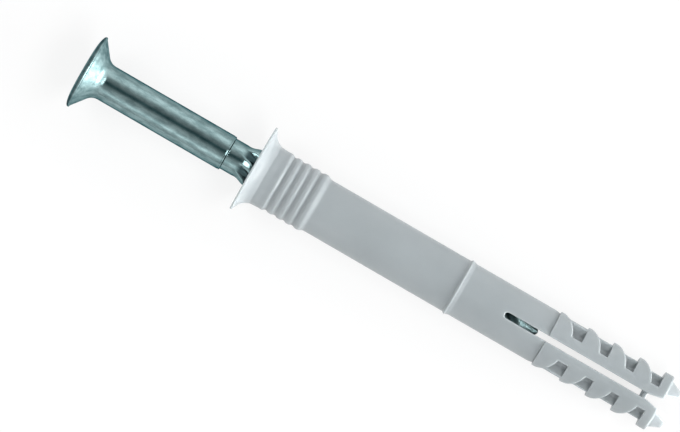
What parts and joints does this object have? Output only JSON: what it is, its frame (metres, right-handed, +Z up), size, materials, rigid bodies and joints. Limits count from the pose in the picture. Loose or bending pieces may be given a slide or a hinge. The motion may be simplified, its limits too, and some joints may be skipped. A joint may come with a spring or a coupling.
{
  "type": "hammer fixing plug",
  "caption": "Nylon hammer-in wall plug with a thin flared collar, ribbed neck and slit barbed legs, and a countersunk steel drive screw started in its bore.",
  "frame": {"origin": "middle of the footprint on the ground that the plug lies on", "axes": "+X along the plug from the screw head towards the sleeve's tip (the axis itself dips by about 2 degrees), +Y across the legs through the teeth, +Z up, with the slit facing up"},
  "size_m": [0.0938, 0.0128, 0.0129],
  "materials": {
    "nylon": "moulded grey nylon, satin, slightly translucent",
    "zinc_steel": "bright blue-white zinc plating with fine drawing lines"
  },
  "bodies": {
    "sleeve": {"sleeve": "nylon"},
    "drive_screw": {"drive_screw": "zinc_steel"}
  },
  "joints": [
    {"name": "drive_in", "type": "slide", "parent": "sleeve", "child": "drive_screw", "axis": [0.9993, 0, -0.0372], "range_m": [0, 0.02638], "deforming": ["sleeve"]}
  ]
}
